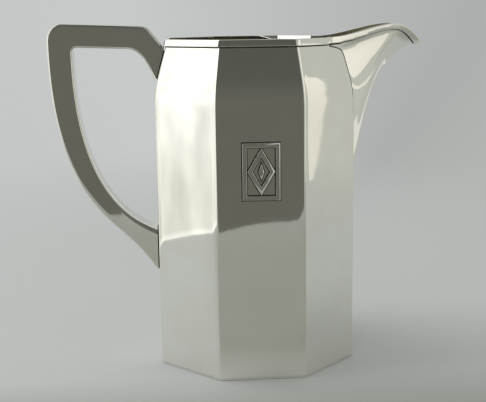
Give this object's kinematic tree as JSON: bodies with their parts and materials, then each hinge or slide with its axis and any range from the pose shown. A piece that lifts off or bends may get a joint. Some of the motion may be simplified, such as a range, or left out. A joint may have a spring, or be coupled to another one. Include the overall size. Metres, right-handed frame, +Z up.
{
  "type": "water pitcher",
  "caption": "Tall silver water pitcher with an eight-panelled body drawn in at the shoulder, a flared pouring spout, a banded rim, an angular hollow handle and a raised ornament.",
  "frame": {"origin": "centre of the underside of the base", "axes": "+X towards the pouring spout with the handle at -X, -Y out of the decorated front panel, +Z up"},
  "size_m": [0.2229, 0.1175, 0.2025],
  "materials": {
    "base_silver": "polished sterling silver, softly hammered",
    "wall_silver": "polished sterling silver, softly hammered",
    "spout_silver": "polished sterling silver, softly hammered",
    "band_silver": "polished sterling silver, softly hammered",
    "handle_silver": "polished sterling silver, softly hammered",
    "ornament_silver": "polished sterling silver, softly hammered"
  },
  "bodies": {
    "root": {"base_plate": "base_silver", "body_wall": "wall_silver", "spout": "spout_silver", "rim_band": "band_silver", "handle_side_front": "handle_silver", "handle_side_back": "handle_silver", "handle_outer_band": "handle_silver", "handle_inner_band": "handle_silver", "ornament_frame": "ornament_silver", "ornament_lozenge": "ornament_silver", "ornament_stud": "ornament_silver"}
  },
  "joints": []
}
